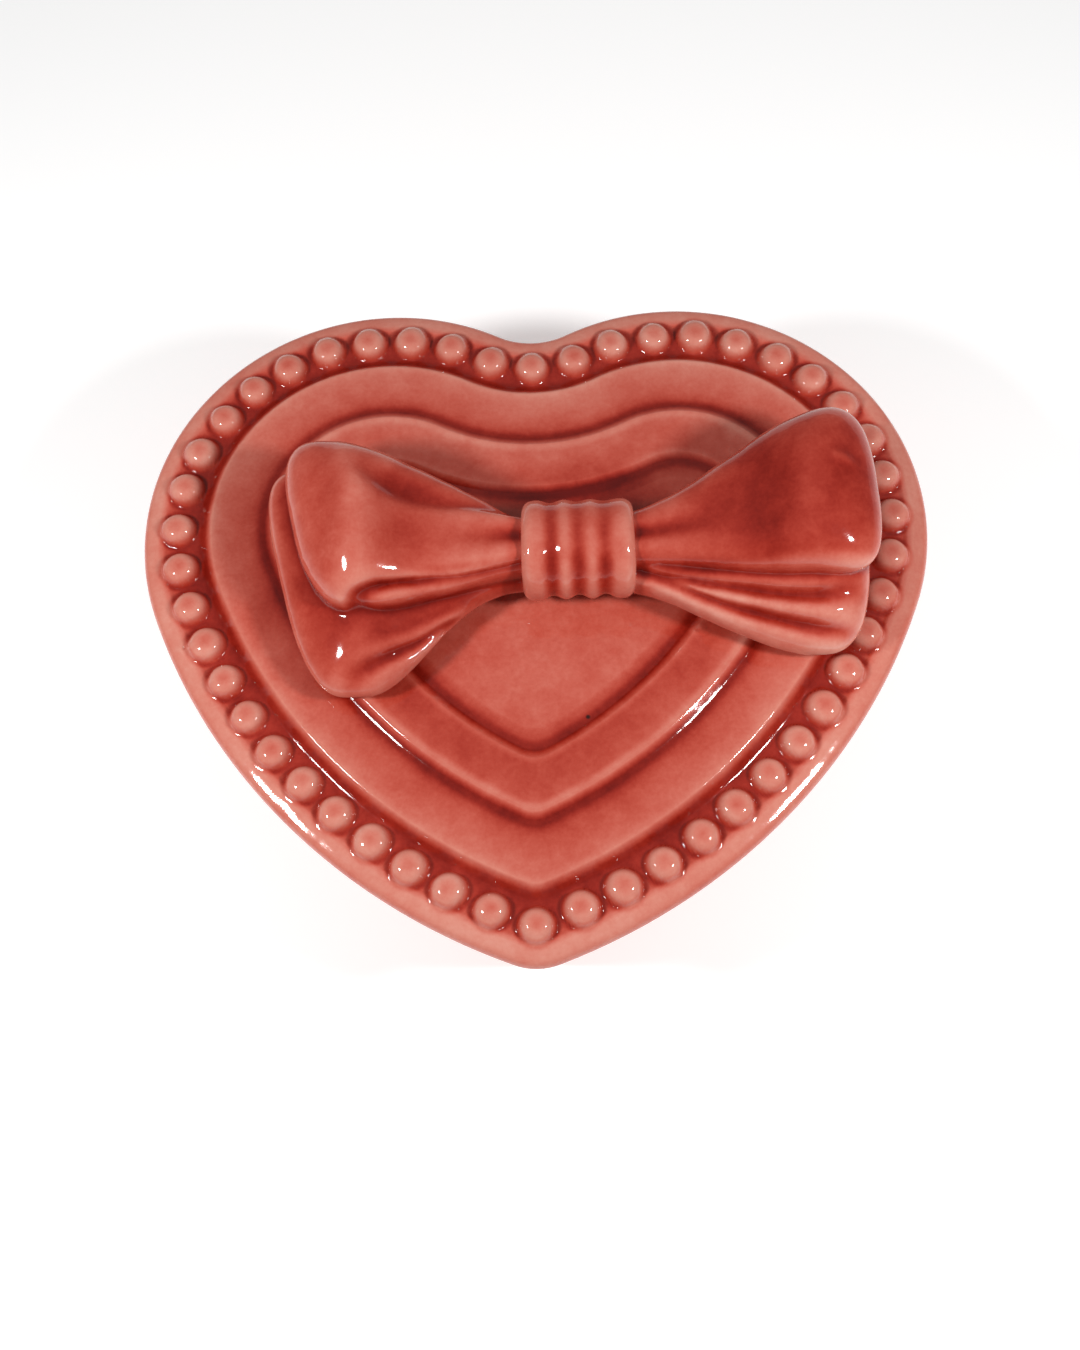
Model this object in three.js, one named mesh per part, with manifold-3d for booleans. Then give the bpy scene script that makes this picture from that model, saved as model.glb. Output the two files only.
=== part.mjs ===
// Heart-shaped trinket box in glazed earthenware: a tapered bowl, a lift-off lid with a row of beads and
// stepped hearts, and a clay bow luted on top as the knob. Millimetres, +Z up, origin under the middle
// of the bowl's foot. The heart's point faces -Y.
import * as THREE from "three";
import { mergeVertices } from "three/addons/utils/BufferGeometryUtils.js";
import Module from "manifold-3d";

const wasm = await Module();
wasm.setup();

// ---- driving dimensions ----

const HALF_WIDTH = 65; // of the lid, which is the widest piece
const LOBE_X = 24; // centre of each round lobe
const SIDE_RADIUS = 99.5; // the long, nearly straight flanks
const SIDE_ANGLE = -0.368; // where a lobe turns into a flank, as an angle about the lobe's centre
const TIP_RADIUS = 10;
const NOTCH_RADIUS = 12.5;

const BOWL_HEIGHT = 32; // foot to seat
const BOWL_WALL = 5;
const BOWL_FLOOR = 5; // height of the inner floor
const BOWL_INSET = 3; // how far the lid overhangs the bowl's mouth
const FOOT_INSET = 8;
const FOOT_WIDTH = 3.5;
const FOOT_RECESS = 1.5;

const LOCATING_GAP = 0.7; // between the lid's locating ring and the bowl's wall
const RING_WIDTH = 3.5;
const RING_DEPTH = 4;

// Heights of the lid's surfaces above the seat.
const RIM_CREST = 4.45; // the rim slopes up to here, just outside the beads
const CHANNEL_HEIGHT = 4.1; // where the beads stand
const FIRST_TIER_HEIGHT = 6.1;
const SECOND_TIER_HEIGHT = 7.0;
const PANEL_HEIGHT = 6.4; // the sunk heart in the middle
const LID_HOLLOW = 2; // ceiling of the hollow under the lid

// How far in from the lid's edge each step starts (foot) and ends (crest).
const FIRST_STEP = { foot: 10.3, crest: 12.2 };
const SECOND_STEP = { foot: 20.6, crest: 22.3 };
const PANEL_STEP = { crest: 29.8, foot: 31.2 };

const BEADS = 48;
const BEAD_INSET = 6.3;
const BEAD_RADIUS = 3;
const BEAD_RISE = 2.35; // above the channel

const BOW_CENTRE = { x: 7.3, y: 6.5 }; // the bow sits a little right of and behind the middle
const BOW_TURN = THREE.MathUtils.degToRad(1);
const KNOT_HALF_LENGTH = 9.1;
const KNOT_RADIUS = { y: 7.9, z: 7.7 };
const KNOT_RIB_DEPTH = 0.8;
const KNOT_RIB_PITCH = 4.1;
const JOINT_GAP = 0.3; // between pieces that are luted together

// ---- the heart outline ----

// The right half of the outline, from the tip to the notch, as four tangent arcs. Moving it inward by
// inset keeps the centres of the lobe and the flank and takes inset off their radii.
function heartArcs(inset) {
  const lobeRadius = HALF_WIDTH - LOBE_X - inset;
  const sideRadius = SIDE_RADIUS - inset;
  const tipRadius = Math.max(TIP_RADIUS - inset, 2.5 + 0.08 * inset);
  const notchRadius = NOTCH_RADIUS + inset;
  const sideX = LOBE_X - (sideRadius - lobeRadius) * Math.cos(SIDE_ANGLE);
  const sideY = -(sideRadius - lobeRadius) * Math.sin(SIDE_ANGLE);
  const tipY = sideY - Math.sqrt((sideRadius - tipRadius) ** 2 - sideX ** 2);
  const notchY = Math.sqrt((notchRadius + lobeRadius) ** 2 - LOBE_X ** 2);
  const tipAngle = Math.atan2(tipY - sideY, -sideX);
  const notchAngle = Math.atan2(notchY, -LOBE_X);
  return [
    { x: 0, y: tipY, radius: tipRadius, from: -Math.PI / 2, to: tipAngle, steps: 4 },
    { x: sideX, y: sideY, radius: sideRadius, from: tipAngle, to: SIDE_ANGLE, steps: 9 },
    { x: LOBE_X, y: 0, radius: lobeRadius, from: SIDE_ANGLE, to: notchAngle, steps: 19 },
    { x: 0, y: notchY, radius: notchRadius, from: notchAngle + Math.PI, to: 1.5 * Math.PI, steps: 4 },
  ];
}

const HEART_TOP = HALF_WIDTH - LOBE_X; // above the lobes' centres
const [tipArc] = heartArcs(0);
const HEART_BOTTOM = tipArc.y - tipArc.radius;
const MIDDLE_Y = (HEART_TOP + HEART_BOTTOM) / 2; // puts the outline's box on the origin

// The closed outline, counter-clockwise from the tip, with the same number of points at every inset.
function heartOutline(inset) {
  const half = [];
  for (const { x, y, radius, from, to, steps } of heartArcs(inset)) {
    const arc = new THREE.EllipseCurve(x, y, radius, radius, from, to, to < from);
    half.push(...arc.getPoints(steps).slice(half.length ? 1 : 0));
  }
  const right = half.map((p) => new THREE.Vector2(p.x, p.y - MIDDLE_Y));
  right[0].x = 0;
  right[right.length - 1].x = 0;
  const left = right.slice(1, -1).reverse().map((p) => new THREE.Vector2(-p.x, p.y));
  return [...right, ...left];
}

// ---- geometry helpers ----

// Joins rings of equal length into one closed body, with a flat cap on the first and the last ring. The
// rings lie across the third axis, so the two that are named span each cap.
function loft(rings, [u, v] = ["x", "y"]) {
  const count = rings[0].length;
  const positions = rings.flat().flatMap((p) => [p.x, p.y, p.z]);
  const faces = [];
  for (let r = 0; r + 1 < rings.length; r++) {
    for (let i = 0; i < count; i++) {
      const j = (i + 1) % count;
      const [a, b, c, d] = [r * count + i, r * count + j, (r + 1) * count + j, (r + 1) * count + i];
      faces.push(a, b, c, a, c, d);
    }
  }
  const cap = (ring, start, flip) => {
    for (const [a, b, c] of THREE.ShapeUtils.triangulateShape(ring, [])) {
      faces.push(...(flip ? [start + a, start + c, start + b] : [start + a, start + b, start + c]));
    }
  };
  const flat = (ring) => ring.map((p) => new THREE.Vector2(p[u], p[v]));
  cap(flat(rings[0]), 0, true);
  cap(flat(rings[rings.length - 1]), (rings.length - 1) * count, false);
  const geometry = new THREE.BufferGeometry();
  geometry.setAttribute("position", new THREE.Float32BufferAttribute(positions, 3));
  geometry.setIndex(faces);
  return geometry;
}

// A heart-shaped turning: the profile lists [inset, height] from the middle of the underside, round the
// edge, to the middle of the top, as a lathe profile does round an axis.
function heartTurning(profile) {
  return loft(profile.map(([inset, height]) => (
    heartOutline(inset).map((p) => new THREE.Vector3(p.x, p.y, height))
  )));
}

function solidFrom(geometry) {
  const bare = geometry.clone();
  bare.deleteAttribute("normal");
  bare.deleteAttribute("uv");
  const merged = mergeVertices(bare, 1e-4);
  return new wasm.Manifold(new wasm.Mesh({
    numProp: 3,
    vertProperties: merged.attributes.position.array,
    triVerts: new Uint32Array(merged.index.array),
  }));
}

function geometryFrom(solid) {
  const { vertProperties, triVerts } = solid.getMesh();
  const geometry = new THREE.BufferGeometry();
  geometry.setAttribute("position", new THREE.BufferAttribute(vertProperties, 3));
  geometry.setIndex(new THREE.BufferAttribute(triVerts, 1));
  geometry.computeVertexNormals();
  return geometry;
}

// ---- bowl ----

function bowlGeometry() {
  const mouthInner = BOWL_INSET + BOWL_WALL;
  const footInner = FOOT_INSET + FOOT_WIDTH;
  return heartTurning([
    [footInner + 1, FOOT_RECESS],
    [footInner, 0],
    [FOOT_INSET, 0],
    [FOOT_INSET - 0.6, 1.2],
    [FOOT_INSET - 0.8, 2.4],
    [FOOT_INSET - 2.2, 5],
    [BOWL_INSET + 1.6, 14],
    [BOWL_INSET + 0.3, 24],
    [BOWL_INSET, BOWL_HEIGHT - 1.5],
    [BOWL_INSET + 0.4, BOWL_HEIGHT - 0.4],
    [BOWL_INSET + 1.4, BOWL_HEIGHT],
    [mouthInner - 0.8, BOWL_HEIGHT],
    [mouthInner, BOWL_HEIGHT - 0.8],
    [mouthInner + 0.4, 22],
    [mouthInner + 2.2, 12],
    [mouthInner + 4.5, BOWL_FLOOR + 1.6],
    [mouthInner + 7.5, BOWL_FLOOR],
  ]);
}

// ---- lid ----

function lidProfile() {
  const ringOuter = BOWL_INSET + BOWL_WALL + LOCATING_GAP;
  const ringInner = ringOuter + RING_WIDTH;
  const heights = (list) => list.map(([inset, height]) => [inset, BOWL_HEIGHT + height]);
  return heights([
    [ringInner + 2.5, LID_HOLLOW],
    [ringInner, LID_HOLLOW - 2],
    [ringInner - 0.3, 0.6 - RING_DEPTH],
    [ringInner - 0.9, -RING_DEPTH],
    [ringOuter + 0.6, -RING_DEPTH],
    [ringOuter, 0.6 - RING_DEPTH],
    [ringOuter, 0],
    [1.7, 0],
    [0.7, 0.25],
    [0.15, 0.95],
    [0, 2.1],
    [0.35, 3.1],
    [1.2, 3.85],
    [2.4, RIM_CREST - 0.1],
    [3.1, RIM_CREST],
    [4.1, CHANNEL_HEIGHT],
    [FIRST_STEP.foot, CHANNEL_HEIGHT],
    [FIRST_STEP.crest, FIRST_TIER_HEIGHT],
    [SECOND_STEP.foot, FIRST_TIER_HEIGHT],
    [SECOND_STEP.crest, SECOND_TIER_HEIGHT],
    [PANEL_STEP.crest, SECOND_TIER_HEIGHT],
    [PANEL_STEP.foot, PANEL_HEIGHT],
  ]);
}

// Points spaced evenly along an outline, starting at its tip.
function evenlySpaced(outline, count) {
  const path = new THREE.Path([...outline, outline[0]]);
  return path.getSpacedPoints(count).slice(0, count);
}

function lidGeometry() {
  let lid = solidFrom(heartTurning(lidProfile()));
  const beadZ = BOWL_HEIGHT + CHANNEL_HEIGHT + BEAD_RISE - BEAD_RADIUS;
  for (const { x, y } of evenlySpaced(heartOutline(BEAD_INSET), BEADS)) {
    const bead = new THREE.SphereGeometry(BEAD_RADIUS, 8, 6).rotateX(Math.PI / 2);
    lid = lid.add(solidFrom(bead.translate(x, y, beadZ)));
  }
  return geometryFrom(lid);
}

// ---- bow ----

// Each loop is two lobes of one folded ribbon, a puffed one above a flatter one. A lobe fans out from
// the knot: the centre (y, z) and half-sizes (wide, tall) of its rounded cross-section go from the neck's
// to the end's by a share reach of its length. Tilt raises the back of the section over the front, and
// slant carries the back of the end beyond its front. Valleys are the creases between pleats: where they
// run round the section (0 is the back, 90 the top, 180 the front), and how deep and wide they are.
const LEFT_LOBES = [
  {
    length: 44.6, square: 2.5, reach: 0.82, ease: 0.75,
    neck: { y: 0.4, z: 9, wide: 5, tall: 4.4 },
    end: { y: 4.2, z: 11.2, wide: 14.4, tall: 6.8, slant: 3.2, tilt: 0 },
    valleys: [
      { at: 58, deep: 1.5, wide: 16 },
      { at: 197, deep: 2.4, wide: 9 },
    ],
  },
  {
    length: 47.2, square: 2.4, reach: 0.78, ease: 1.1,
    neck: { y: 0, z: 5.6, wide: 5.4, tall: 4.4 },
    end: { y: -2.8, z: 4.9, wide: 19, tall: 4.9, slant: 4.4, tilt: 0.07 },
    valleys: [
      { at: 171, deep: 1.8, wide: 7 },
    ],
  },
];
const RIGHT_LOBES = [
  {
    length: 46.6, square: 2.5, reach: 0.9, ease: 0.8,
    neck: { y: 0.2, z: 9.4, wide: 4.6, tall: 4.6 },
    end: { y: 7, z: 13, wide: 13.2, tall: 6.8, slant: -0.6, tilt: -0.03 },
    valleys: [
      { at: 40, deep: 0.7, wide: 16 },
    ],
  },
  {
    length: 45.4, square: 2.3, reach: 0.8, ease: 0.72,
    neck: { y: -0.5, z: 6.2, wide: 6.2, tall: 5.2 },
    end: { y: -1.9, z: 7.4, wide: 15.1, tall: 6.2, slant: 0.5, tilt: 0.3 },
    valleys: [
      { at: 128, deep: 1.4, wide: 7 },
      { at: 150, deep: 1.8, wide: 6 },
      { at: 170, deep: 2.2, wide: 6 },
    ],
  },
];
const LOBE_START = KNOT_HALF_LENGTH + JOINT_GAP;
const LOBE_SECTIONS = 12;
const LOBE_POINTS = 32;
const END_ROUNDING = 0.2; // share of a lobe's length over which its end rounds off
const LAST_SECTION = 0.97; // where on that rounding the flat last section is, which the cap closes

const toPower = (base, power) => Math.abs(base) ** power;
const superellipse = (angle, power) => (
  (toPower(Math.cos(angle), power) + toPower(Math.sin(angle), power)) ** (-1 / power)
);
const roundOff = (closing, power) => (1 - toPower(LAST_SECTION * closing, power)) ** (1 / power);

// One cross-section of a lobe, at a share t of its length, as points in a plane across the ribbon.
function lobeSection({ length, square, reach, ease, neck, end, valleys }, t) {
  const fan = THREE.MathUtils.smoothstep(t, 0, reach) ** ease;
  const closing = Math.max(0, 1 - (1 - t) / END_ROUNDING);
  const grow = (key) => THREE.MathUtils.lerp(neck[key], end[key], fan);
  const wide = grow("wide") * roundOff(closing, 3.2);
  const tall = grow("tall") * roundOff(closing, 2.2);
  return Array.from({ length: LOBE_POINTS }, (_, i) => {
    const angle = (2 * Math.PI * i) / LOBE_POINTS;
    let sink = 0;
    for (const valley of valleys) {
      const away = (THREE.MathUtils.radToDeg(angle) - valley.at) / valley.wide;
      sink += valley.deep * Math.sqrt(fan) * Math.exp(-away * away);
    }
    const pull = superellipse(angle, square) - (sink * roundOff(closing, 2)) / grow("tall");
    const y = wide * pull * Math.cos(angle);
    const z = tall * pull * Math.sin(angle) + end.tilt * y * fan;
    const x = THREE.MathUtils.lerp(LOBE_START, length, t) + (end.slant * fan * y) / end.wide;
    return new THREE.Vector3(x, grow("y") + y, Math.max(JOINT_GAP, grow("z") + z));
  });
}

// The sections stand closer together towards the lobe's end, where it rounds off.
function lobeSolid(lobe) {
  const rings = Array.from({ length: LOBE_SECTIONS }, (_, i) => (
    lobeSection(lobe, Math.sin(((i / (LOBE_SECTIONS - 1)) * Math.PI) / 2))
  ));
  return solidFrom(loft(rings, ["y", "z"]));
}

function loopGeometry(lobes, side) {
  const [upper, lower] = lobes.map(lobeSolid);
  const loop = upper.add(lower);
  return geometryFrom(side < 0 ? loop.mirror([1, 0, 0]) : loop);
}

// The ribbed band round the middle of the bow.
function knotGeometry() {
  const sections = 23;
  const points = 20;
  const rings = Array.from({ length: sections }, (_, s) => {
    const x = THREE.MathUtils.lerp(-KNOT_HALF_LENGTH, KNOT_HALF_LENGTH, s / (sections - 1));
    const shoulder = Math.max(0, (Math.abs(x) - (KNOT_HALF_LENGTH - 1.8)) / 1.8);
    const rib = Math.abs(x) < 1.5 * KNOT_RIB_PITCH ? Math.cos((Math.PI * x) / KNOT_RIB_PITCH) ** 2 : 0;
    const shrink = KNOT_RIB_DEPTH * rib + 1.8 * (1 - Math.sqrt(1 - 0.96 * shoulder ** 2));
    return Array.from({ length: points }, (_, i) => {
      const angle = (2 * Math.PI * i) / points;
      const y = (KNOT_RADIUS.y - shrink) * Math.cos(angle);
      const z = KNOT_RADIUS.z + (KNOT_RADIUS.z - shrink) * Math.sin(angle);
      return new THREE.Vector3(x, y, Math.max(JOINT_GAP, z));
    });
  });
  return loft(rings, ["y", "z"]);
}

// ---- assembly ----

const glaze = (color) => new THREE.MeshStandardMaterial({ color, roughness: 0.12, metalness: 0 });
const pinkGlaze = glaze(0xb8534a);

function piece(name, geometry) {
  const mesh = new THREE.Mesh(geometry, pinkGlaze);
  mesh.name = name;
  return mesh;
}

const bow = new THREE.Group();
bow.position.set(BOW_CENTRE.x, BOW_CENTRE.y, BOWL_HEIGHT + SECOND_TIER_HEIGHT);
bow.rotation.z = BOW_TURN;
bow.add(
  piece("bow_knot_band", knotGeometry()),
  piece("bow_loop_left", loopGeometry(LEFT_LOBES, -1)),
  piece("bow_loop_right", loopGeometry(RIGHT_LOBES, 1)),
);

const trinketBox = new THREE.Group();
trinketBox.add(piece("heart_bowl", bowlGeometry()), piece("heart_lid", lidGeometry()), bow);
export default trinketBox;
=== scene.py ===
import math

import bpy
import numpy as np
from mathutils import Matrix, Vector


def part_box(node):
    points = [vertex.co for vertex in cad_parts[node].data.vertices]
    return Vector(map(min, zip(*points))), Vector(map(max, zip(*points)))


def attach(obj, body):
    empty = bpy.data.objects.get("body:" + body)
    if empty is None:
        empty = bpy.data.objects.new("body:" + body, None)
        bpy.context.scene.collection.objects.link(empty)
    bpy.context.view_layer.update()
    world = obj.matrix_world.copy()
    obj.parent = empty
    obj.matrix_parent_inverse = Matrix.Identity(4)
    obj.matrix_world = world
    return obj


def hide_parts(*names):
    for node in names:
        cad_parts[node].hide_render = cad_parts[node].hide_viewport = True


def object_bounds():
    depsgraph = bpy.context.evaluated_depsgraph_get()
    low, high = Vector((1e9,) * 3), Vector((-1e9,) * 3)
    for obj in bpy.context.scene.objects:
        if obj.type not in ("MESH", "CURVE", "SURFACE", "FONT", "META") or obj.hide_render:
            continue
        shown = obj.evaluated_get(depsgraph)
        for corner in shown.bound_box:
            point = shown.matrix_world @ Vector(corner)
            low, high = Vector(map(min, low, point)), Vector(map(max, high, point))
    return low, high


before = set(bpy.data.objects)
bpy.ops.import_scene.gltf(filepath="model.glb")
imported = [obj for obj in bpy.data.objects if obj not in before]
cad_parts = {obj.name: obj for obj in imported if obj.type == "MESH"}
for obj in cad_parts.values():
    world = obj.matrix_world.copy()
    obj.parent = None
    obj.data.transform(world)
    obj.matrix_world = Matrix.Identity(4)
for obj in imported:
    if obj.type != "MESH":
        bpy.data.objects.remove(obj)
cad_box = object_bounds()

MM = 0.001

# Shapes are worked out in millimetres, in the frame's axes: +X to the right, +Y from the heart's point
# towards its notch, +Z up. They become metres when a mesh is made. The box's half width and the height of
# the bowl's mouth come from the frame, to the nearest 0.1 mm. The outline's other sizes repeat part.mjs.

# ---------------------------------------------------------------- the heart outline

HALF_WIDTH = round(cad_box[1][0] / MM, 1)
LOBE_X = 24.0  # centre of each round lobe
SIDE_RADIUS = 99.5  # the long, nearly straight flanks
SIDE_ANGLE = -0.368  # where a lobe turns into a flank, as an angle about the lobe's centre
TIP_RADIUS = 10.0
NOTCH_RADIUS = 12.5
MIDDLE = (0.0, 4.0)  # a point well inside every outline, where the flat surfaces close
BEADS = 48
BEAD_INSET = 6.3
SEAT = round(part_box("heart_bowl")[1][2] / MM, 1)  # height of the bowl's mouth, where the lid rests
TIER_TWO = SEAT + 7.0  # the lid's highest flat surface, which the bow stands on


def heart_arcs(inset):
    """Tip, flank, lobe and notch of the right half: centre x, centre y, radius, start and end angle."""
    lobe_r = HALF_WIDTH - LOBE_X - inset
    side_r = SIDE_RADIUS - inset
    tip_r = max(TIP_RADIUS - inset, 2.5 + 0.08 * inset)
    notch_r = NOTCH_RADIUS + inset
    side_x = LOBE_X - (side_r - lobe_r) * math.cos(SIDE_ANGLE)
    side_y = -(side_r - lobe_r) * math.sin(SIDE_ANGLE)
    tip_y = side_y - math.sqrt((side_r - tip_r) ** 2 - side_x ** 2)
    notch_y = math.sqrt((notch_r + lobe_r) ** 2 - LOBE_X ** 2)
    tip_angle = math.atan2(tip_y - side_y, -side_x)
    notch_angle = math.atan2(notch_y, -LOBE_X)
    return [
        (0.0, tip_y, tip_r, -math.pi / 2, tip_angle),
        (side_x, side_y, side_r, tip_angle, SIDE_ANGLE),
        (LOBE_X, 0.0, lobe_r, SIDE_ANGLE, notch_angle),
        (0.0, notch_y, notch_r, notch_angle + math.pi, 1.5 * math.pi),
    ]


_tip = heart_arcs(0.0)[0]
MIDDLE_Y = (HALF_WIDTH - LOBE_X + _tip[1] - _tip[2]) / 2


class Outline:
    """The closed heart outline with count points, evenly spaced along the line the beads stand on, so that
    the same point of every inset lies on one normal."""

    def __init__(self, count):
        self.count = count
        lengths = [r * abs(b - a) for _, _, r, a, b in heart_arcs(BEAD_INSET)]
        self.places = []
        for k in range(count // 2 + 1):
            along = 2 * sum(lengths) * k / count
            i = 0
            while i < 3 and along > lengths[i]:
                along -= lengths[i]
                i += 1
            self.places.append((i, min(1.0, along / lengths[i])))

    def ring(self, inset):
        """The outline's points, moved inward by inset."""
        arcs = heart_arcs(inset)
        right = []
        for i, share in self.places:
            x, y, r, a, b = arcs[i]
            angle = a + (b - a) * share
            right.append((x + r * math.cos(angle), y + r * math.sin(angle) - MIDDLE_Y))
        right = np.array(right)
        right[0, 0] = right[-1, 0] = 0.0
        left = right[1:-1][::-1] * (-1, 1)
        return np.vstack([right, left])


ARC_STEPS = 6
LEAST_GAP = 0.02


def rounded(corners, spacing):
    """A profile through (inset, height, radius) corners, each rounded to its radius where its sides leave
    room, with points no further apart than spacing."""
    points = []
    count = len(corners)
    for i, corner in enumerate(corners):
        p = np.array(corner[:2], float)
        radius = corner[2]
        if i in (0, count - 1):
            points.append(p)
            continue
        before = np.array(corners[i - 1][:2], float) - p
        after = np.array(corners[i + 1][:2], float) - p
        u, v = before / np.linalg.norm(before), after / np.linalg.norm(after)
        half = math.acos(max(-1.0, min(1.0, float(u @ v)))) / 2
        if half > math.pi / 2 - 0.02:  # as good as straight
            points.append(p)
            continue
        reach = min(radius / math.tan(half), 0.49 * np.linalg.norm(before), 0.49 * np.linalg.norm(after))
        r = reach * math.tan(half)
        middle = (u + v) / np.linalg.norm(u + v)
        centre = p + middle * (r / math.sin(half))
        start, end = p + u * reach - centre, p + v * reach - centre
        a0, a1 = math.atan2(start[1], start[0]), math.atan2(end[1], end[0])
        turn = (a1 - a0 + math.pi) % (2 * math.pi) - math.pi
        for s in np.linspace(0, 1, ARC_STEPS + 1):
            a = a0 + turn * s
            points.append(centre + r * np.array([math.cos(a), math.sin(a)]))
    dense = [points[0]]
    for q in points[1:]:
        gap = np.linalg.norm(q - dense[-1])
        if gap < LEAST_GAP:
            continue
        pieces = max(1, int(math.ceil(gap / spacing)))
        start = dense[-1]
        dense.extend(start + (q - start) * (j + 1) / pieces for j in range(pieces))
    return np.array(dense)


# ---------------------------------------------------------------- mesh helpers


def mesh_object(name, verts_mm, faces):
    mesh = bpy.data.meshes.new(name)
    mesh.from_pydata((np.asarray(verts_mm) * MM).tolist(), [], faces)
    mesh.validate()
    mesh.update()
    mesh.shade_smooth()
    obj = bpy.data.objects.new(name, mesh)
    bpy.context.scene.collection.objects.link(obj)
    return obj


def ring_faces(rings, count):
    """Quads between successive rings of count points, and fans that close the first and the last ring to
    the two vertices that follow the rings."""
    close_start, close_end = rings * count, rings * count + 1
    faces = []
    around = np.arange(count)
    nxt = (around + 1) % count
    for r in range(rings - 1):
        a, b = r * count + around, r * count + nxt
        faces.append(np.stack([a, b, b + count, a + count], axis=1))
    quads = np.vstack(faces).tolist()
    quads += [[close_start, int(j), int(i)] for i, j in zip(around, nxt)]
    last = (rings - 1) * count
    quads += [[close_end, last + int(i), last + int(j)] for i, j in zip(around, nxt)]
    return quads


def mesh_arrays(obj):
    """A mesh's points in millimetres, and the pairs of points that its edges join."""
    mesh = obj.data
    verts = np.empty(len(mesh.vertices) * 3)
    mesh.vertices.foreach_get("co", verts)
    edges = np.empty(len(mesh.edges) * 2, dtype=np.int64)
    mesh.edges.foreach_get("vertices", edges)
    return verts.reshape(-1, 3) / MM, edges.reshape(-1, 2)


def vertex_normals(obj):
    mesh = obj.data
    normals = np.empty(len(mesh.vertices) * 3)
    mesh.vertex_normals.foreach_get("vector", normals)
    return normals.reshape(-1, 3)


def set_verts(obj, verts_mm):
    obj.data.vertices.foreach_set("co", (verts_mm * MM).ravel())
    obj.data.update()


def neighbour_mean(values, edges, degree):
    total = np.empty_like(values)
    for c in range(values.shape[1]):
        total[:, c] = np.bincount(edges[:, 0], values[edges[:, 1], c], len(values))
        total[:, c] += np.bincount(edges[:, 1], values[edges[:, 0], c], len(values))
    return total / degree[:, None]


BLUR_SHARE = 0.6


def blurred(values, edges, times):
    """The values, each moved towards the mean of its neighbours, times over."""
    degree = np.bincount(edges.ravel(), minlength=len(values)).astype(float)
    degree[degree == 0] = 1
    for _ in range(times):
        values = values + BLUR_SHARE * (neighbour_mean(values, edges, degree) - values)
    return values


def hollow_depth(verts, normals, edges, times):
    """How far the surface lies below its own blurred shape: positive in hollows, negative on crests."""
    return ((blurred(verts, edges, times) - verts) * normals).sum(axis=1)


def set_attribute(obj, name, values):
    attribute = obj.data.attributes.new(name, "FLOAT", "POINT")
    attribute.data.foreach_set("value", np.ascontiguousarray(values, dtype=np.float32))


def smooth_step(x):
    x = np.clip(x, 0, 1)
    return x * x * (3 - 2 * x)


def smooth_max(a, b, k):
    """The larger of two heights, joined by a fillet where they are within k of each other."""
    h = np.clip(0.5 + 0.5 * (a - b) / k, 0, 1)
    return b + (a - b) * h + k * h * (1 - h)


WAVES = 9


def unevenness(points, seed, wavelength):
    """A smooth random field made of a few waves: the small unevenness of hand-finished clay."""
    rng = np.random.default_rng(seed)
    total = np.zeros(len(points))
    for _ in range(WAVES):
        direction = rng.normal(size=points.shape[1])
        direction *= 2 * math.pi / (np.linalg.norm(direction) * wavelength * rng.uniform(0.7, 1.6))
        total += np.sin(points @ direction + rng.uniform(0, 2 * math.pi))
    return total / WAVES


# ---------------------------------------------------------------- lid

LID_AROUND = 960
lid_outline = Outline(LID_AROUND)

CHANNEL = SEAT + 4.1  # where the beads stand
TIER_ONE = SEAT + 6.1
PANEL = SEAT + 6.3  # the sunk heart in the middle
PANEL_INSET = 33.5
LID_HOLLOW = SEAT + 2.0  # ceiling of the hollow under the lid

lid_profile = rounded([
    (30.0, LID_HOLLOW, 0),
    (14.5, LID_HOLLOW, 2.5),
    (12.3, SEAT - 0.5, 2.0),
    (11.9, SEAT - 4.0, 0.9),
    (8.8, SEAT - 4.0, 0.9),
    (8.7, SEAT, 0.5),
    (1.7, SEAT, 0.9),
    (0.4, SEAT + 0.7, 1.0),
    (0.0, SEAT + 2.1, 2.0),
    (0.35, SEAT + 3.2, 1.5),
    (0.9, SEAT + 3.72, 1.5),
    (2.0, SEAT + 4.10, 9.0),
    (3.0, SEAT + 4.32, 3.0),
    (3.7, SEAT + 4.36, 0.8),
    (4.4, CHANNEL, 0.9),
    (10.0, CHANNEL, 1.9),
    (11.9, TIER_ONE, 0.8),
    (20.4, TIER_ONE, 2.4),
    (22.1, TIER_TWO, 0.6),
    (29.6, TIER_TWO, 0.9),
    (31.0, PANEL, 0.9),
    (PANEL_INSET, PANEL, 0),
], spacing=0.36)


def heart_body(outline, profile):
    """A heart-shaped turning of a profile: one ring of points for each of the profile's points."""
    rings = np.empty((len(profile), outline.count, 3))
    for r, (inset, z) in enumerate(profile):
        rings[r, :, :2] = outline.ring(inset)
        rings[r, :, 2] = z
    return rings


def toward_centre(ring, centre, shares):
    """Copies of a ring shrunk towards centre, as an array of rings."""
    return np.stack([centre + (ring - centre) * s for s in shares])


# The rings that fill a flat surface from its edge to its middle, as shares of the edge's size.
INNER_SHARES = np.linspace(0.97, 0.04, 24)

lid_rings = heart_body(lid_outline, lid_profile)
lid_inset = np.repeat(lid_profile[:, 0][:, None], LID_AROUND, axis=1)
top_side = np.zeros(len(lid_profile), bool)
top_side[int(np.argmin(lid_profile[:, 0])):] = True

# Burst bubbles in the glaze: x, y, radius and height. Each has a pit in its middle.
BUBBLES = [
    (-20.9, -30.5, 0.85, 0.22), (26.0, -4.3, 1.15, 0.42), (-56.5, -4.9, 0.9, 0.3), (-37.1, -13.0, 0.7, 0.12),
    (14.5, -36.0, 0.6, 0.14), (33.0, 27.5, 0.7, 0.12),
]

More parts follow.
